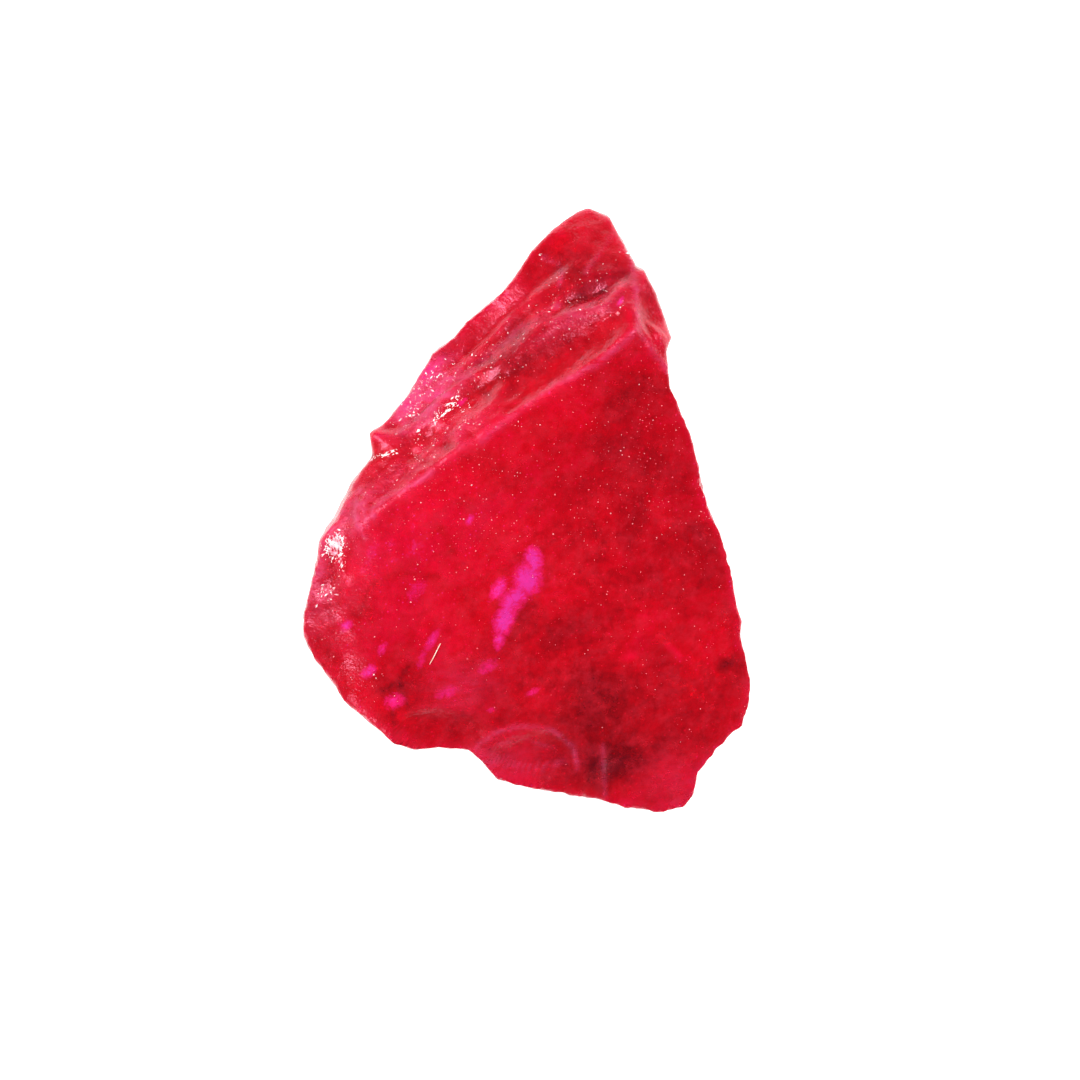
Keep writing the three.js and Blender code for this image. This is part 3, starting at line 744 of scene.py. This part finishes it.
DUST = (1900, 0.004, 0.016)  # how many specks, and their least and greatest half size in mm
DUST_HEAPS = (150, 0.22, 0.6)  # how many loose heaps, their radius in mm, and their share of the dust
DUST_BAND = (0.8, 3.2)  # mm along Y: where the dust is thickest, and how far off it has thinned out
WHITE_GRAIN = (1.82, 3.86, 0.055)  # a grain of white sand: plan point and half size


def surface_at(points):
    """Index of the upward-looking vertex nearest in plan to each point."""
    return np.argmin(((upper[None, :, :2] - points[:, None, :2]) ** 2).sum(-1), axis=1)


def pale_material(name, blush, blush_end, white_start):
    """Powdery or crumbled rock: opaque grains that scatter light from a blush of the stone's red
    to white, the shade drifting over a quarter of a millimetre."""
    m = new_material(name)
    place = add_node(m, "ShaderNodeTexCoord").outputs["Object"]
    patch = add_node(m, "ShaderNodeTexNoise", {"Vector": place, "Scale": 1 / (0.25 * MM), "Detail": 2})
    shade = add_node(m, "ShaderNodeValToRGB", {"Fac": patch})
    ends = shade.color_ramp.elements
    ends[0].color, ends[0].position = srgb(blush), blush_end
    ends[1].color, ends[1].position = srgb("#FFF6F8"), white_start
    shader = add_node(m, "ShaderNodeBsdfPrincipled", {
        "Base Color": shade, "Roughness": 0.35, "IOR": 1.54})
    add_node(m, "ShaderNodeOutputMaterial", {"Surface": shader})
    return m


random = np.random.default_rng(5)
count, least, greatest = DUST
heaps, spread, heaped = DUST_HEAPS
chance = upper_area * (0.5 + np.clip(upper_frost_and_glow, 0, 1) * 2)
chance *= np.exp(-((upper[:, 1] - DUST_BAND[0]) / DUST_BAND[1]) ** 2)
heap = random.choice(len(upper), heaps, p=chance / chance.sum())
picked = random.choice(len(upper), count, p=chance / chance.sum())
loose = upper[random.choice(heap, count)] + random.normal(scale=spread, size=(count, 3))
picked = np.where(random.uniform(size=count) < heaped, surface_at(loose), picked)
half = least + (greatest - least) * random.power(0.4, (count, 1))
turns = any_way_up(random, count)
specks = scatter(GRAIN, upper[picked], turns, half * random.uniform(0.5, 1.6, (count, 3)))
x, y, half = WHITE_GRAIN
specks += scatter(GRAIN, upper[surface_at(np.array([(x, y)]))], np.eye(3)[None], np.full((1, 3), half))
dust = mesh_object("dust", *joined(specks, GRAIN_FACES), smooth=False)
dust.data.materials.append(pale_material("pale_rock_dust", "#E4485C", 0.48, 0.80))
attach(dust, "root")

# --- Crushed grains and painted glints ---------------------------------------------------------
# Glassy crumbs of ruby that stay in place where an edge was crushed. Ruby powder is nearly white,
# and the crumbs are set where the stone shows small white glints, so their white colour paints those
# glints: painted highlights, some in streaks and some in a patch.

# Crushed spots in plan, most of them the places of painted white glints: middle, spread along and
# across, bearing and how far the crumbs stray from it, how many crumbs, and their half size.
CRUSHED_GLINTS = [
    (-3.80, -0.68, 0.11, 0.09, 70, 180, 380, 0.017), (-3.72, -0.90, 0.08, 0.04, 70, 90, 30, 0.015),
    (-3.66, -1.10, 0.07, 0.015, 55, 12, 12, 0.016), (-3.90, -1.62, 0.12, 0.05, 50, 40, 34, 0.016),
    (-4.02, -1.50, 0.06, 0.03, 20, 60, 14, 0.013), (-1.64, 1.92, 0.28, 0.02, 38, 10, 40, 0.019),
    (-1.48, 2.12, 0.12, 0.04, 50, 30, 26, 0.017), (-1.80, 1.86, 0.10, 0.03, 80, 30, 16, 0.016),
    (-1.20, 1.72, 0.20, 0.05, 40, 60, 20, 0.013), (-2.82, 1.12, 0.15, 0.012, 16, 8, 22, 0.016),
    (-2.66, 1.18, 0.05, 0.02, 10, 30, 10, 0.016), (0.27, 4.97, 0.03, 0.12, 20, 60, 9, 0.010),
    (-1.20, 2.85, 0.95, 0.10, 43, 90, 70, 0.009), (-2.30, 2.05, 0.24, 0.11, 50, 60, 60, 0.013),
    (-1.95, 2.60, 0.24, 0.14, 50, 60, 64, 0.012), (1.85, 3.98, 0.10, 0.06, 50, 60, 5, 0.010),
    (1.10, 3.80, 0.60, 0.14, 33, 60, 30, 0.009), (-2.10, 0.95, 0.30, 0.10, 30, 60, 22, 0.011),
    (-0.30, 3.20, 1.10, 0.26, 38, 90, 150, 0.008), (-1.75, 1.75, 0.60, 0.22, 40, 90, 90, 0.010),
    (0.85, 4.30, 0.70, 0.24, 40, 90, 70, 0.008), (2.17, 5.18, 0.01, 0.01, 15, 30, 3, 0.050),
]
CRUMB_LEAST, CRUMB_MOST = (0.9, 0.3, 0.25), (2.2, 0.8, 0.5)  # length, width, thickness in half sizes
CRUMB_TILT = 0.25  # how far a crumb tips off the surface, as a slope
CRUMB_SHIFT = 0.025  # mm, how far it slides along the surface

random = np.random.default_rng(9)
glint_crumbs = []
for x, y, along, across, bearing, stray, count, half in CRUSHED_GLINTS:
    way = on_bearing(bearing)
    spots = (np.array((x, y, 0)) + random.normal(size=(count, 1)) * along * way
             + random.normal(size=(count, 1)) * across * np.cross((0, 0, 1), way))
    spots = surface_at(spots)
    ways = on_bearing(bearing + random.normal(scale=stray, size=count))
    facing = unit(upward[spots] + random.normal(scale=CRUMB_TILT, size=(count, 3)))
    ways = unit(ways - (ways * facing).sum(1, keepdims=True) * facing)
    turns = np.stack((ways, np.cross(facing, ways), facing), 1)
    places = upper[spots] + CRUMB_SHIFT * (random.normal(size=(count, 2, 1)) * turns[:, :2]).sum(1)
    sizes = half * random.lognormal(0, 0.45, (count, 1))
    sizes = sizes * random.uniform(CRUMB_LEAST, CRUMB_MOST, (count, 3))
    glint_crumbs += scatter(GRAIN, places, turns, sizes)
crushed_glints = mesh_object("crushed_grains_glints", *joined(glint_crumbs, GRAIN_FACES), smooth=False)
crushed_glints.data.materials.append(pale_material("crushed_ruby", "#F48AA0", 0.34, 0.52))
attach(crushed_glints, "root")

# --- Lint fibre --------------------------------------------------------------------------------
# One thread of cotton lint that clings to the stone. It is a round fibre about a fiftieth of a
# millimetre thick and half a millimetre long, bowed a little off the surface.

FIBRE = [(-1.95, -3.05), (-1.86, -2.92), (-1.80, -2.76), (-1.72, -2.62)]  # plan points of its curve
FIBRE_RADIUS = 0.009  # mm
FIBRE_GRID = (8, 24)  # sides round and steps along


def lint(points, radius, sides, steps):
    """A round tube along a cubic Bezier curve: centre line from the four Bernstein weights, a circle
    square to it at each step, tapered at both ends by the square root of a parabola."""
    along = np.linspace(0, 1, steps + 1)[1:-1]
    back = 1 - along
    weights = np.stack((back ** 3, 3 * along * back ** 2, 3 * along ** 2 * back, along ** 3), 1)
    centre = weights @ points
    ahead = unit(np.gradient(centre, axis=0))
    side = unit(np.cross(ahead, (0, 0, 1)))
    turn = np.linspace(0, 2 * np.pi, sides, endpoint=False)[:, None, None]
    girth = radius * np.sqrt(np.sqrt(4 * along * (1 - along)))[:, None]
    tube = centre + girth * (np.cos(turn) * side + np.sin(turn) * np.cross(ahead, side))
    return np.vstack((tube.reshape(-1, 3), points[:1], points[-1:]))


def lint_material():
    """Cotton lint: a cream thread with a soft sheen, paler and darker along its twist."""
    m = new_material("cotton_lint")
    place = add_node(m, "ShaderNodeTexCoord").outputs["Object"]
    twist = add_node(m, "ShaderNodeTexNoise", {"Vector": place, "Scale": 1 / (0.08 * MM), "Detail": 2})
    cream = add_node(m, "ShaderNodeValToRGB", {"Fac": twist})
    cream.color_ramp.elements[0].color, cream.color_ramp.elements[0].position = srgb("#F0A890"), 0.3
    cream.color_ramp.elements[1].color, cream.color_ramp.elements[1].position = srgb("#FFF4E4"), 0.6
    shader = add_node(m, "ShaderNodeBsdfPrincipled", {
        "Base Color": cream, "Roughness": 0.8, "IOR": 1.5, "Sheen Weight": 0.3})
    add_node(m, "ShaderNodeOutputMaterial", {"Surface": shader})
    return m


path = np.array(FIBRE, float)
path = np.column_stack((path, upper[surface_at(path), 2] + np.array((1, 3, 3, 1)) * FIBRE_RADIUS))
fibre = mesh_object("lint_fibre", lint(path, FIBRE_RADIUS, *FIBRE_GRID), closed_grid(*FIBRE_GRID))
fibre.data.materials.append(lint_material())
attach(fibre, "root")

# --- Stage -------------------------------------------------------------------------------------
# A white table, large soft lamps and a camera that looks straight down on the stone.

TABLE = 300  # mm, half its width
CLEARANCE = 0.002  # mm between the table and the stone's resting face
FOCAL, SENSOR = 300, 36  # mm
FIELD = 21.6  # mm across the frame, at the height of the point aimed at
AIM = (0.245, -0.58, 2)  # mm

corners = TABLE * np.array([(-1, -1, 0), (1, -1, 0), (1, 1, 0), (-1, 1, 0)]) - (0, 0, CLEARANCE)
floor = mesh_object("table", corners, [(0, 1, 2, 3)], smooth=False)
white = new_material("white_card")
card = add_node(white, "ShaderNodeBsdfPrincipled", {
    "Base Color": srgb("#F7F7F8"), "Roughness": 0.9, "Specular IOR Level": 0.2,
    "Emission Color": (1, 1, 1, 1), "Emission Strength": 0.55})
add_node(white, "ShaderNodeOutputMaterial", {"Surface": card})
floor.data.materials.append(white)

world = bpy.data.worlds.new("studio")
world.use_nodes = True
bpy.context.scene.world = world
sky = world.node_tree.nodes["Background"]
sky.inputs["Color"].default_value = (1, 1, 1, 1)
sky.inputs["Strength"].default_value = 0.2


def soft_lamp(name, place, size, watts):
    """A square lamp at a place in mm, turned to the stone."""
    lamp = bpy.data.lights.new(name, "AREA")
    lamp.size, lamp.energy = size * MM, watts
    made = bpy.data.objects.new(name, lamp)
    made.location = Vector(place) * MM
    made.rotation_euler = (-made.location).to_track_quat("-Z", "Y").to_euler()
    bpy.context.scene.collection.objects.link(made)


soft_lamp("right", (190, 133, 276), 90, 1.22)
soft_lamp("left", (-241, 51, 264), 90, 1.14)
soft_lamp("front", (-110, -260, 190), 18, 0.25)

camera = bpy.data.cameras.new("camera")
camera.lens, camera.sensor_width = FOCAL, SENSOR
camera.clip_start, camera.clip_end = 0.001, 10
view = bpy.data.objects.new("camera", camera)
view.location = (Vector(AIM) + Vector((0, 0, FIELD * FOCAL / SENSOR))) * MM
bpy.context.scene.collection.objects.link(view)
bpy.context.scene.camera = view
bpy.context.scene.view_settings.view_transform = "Standard"
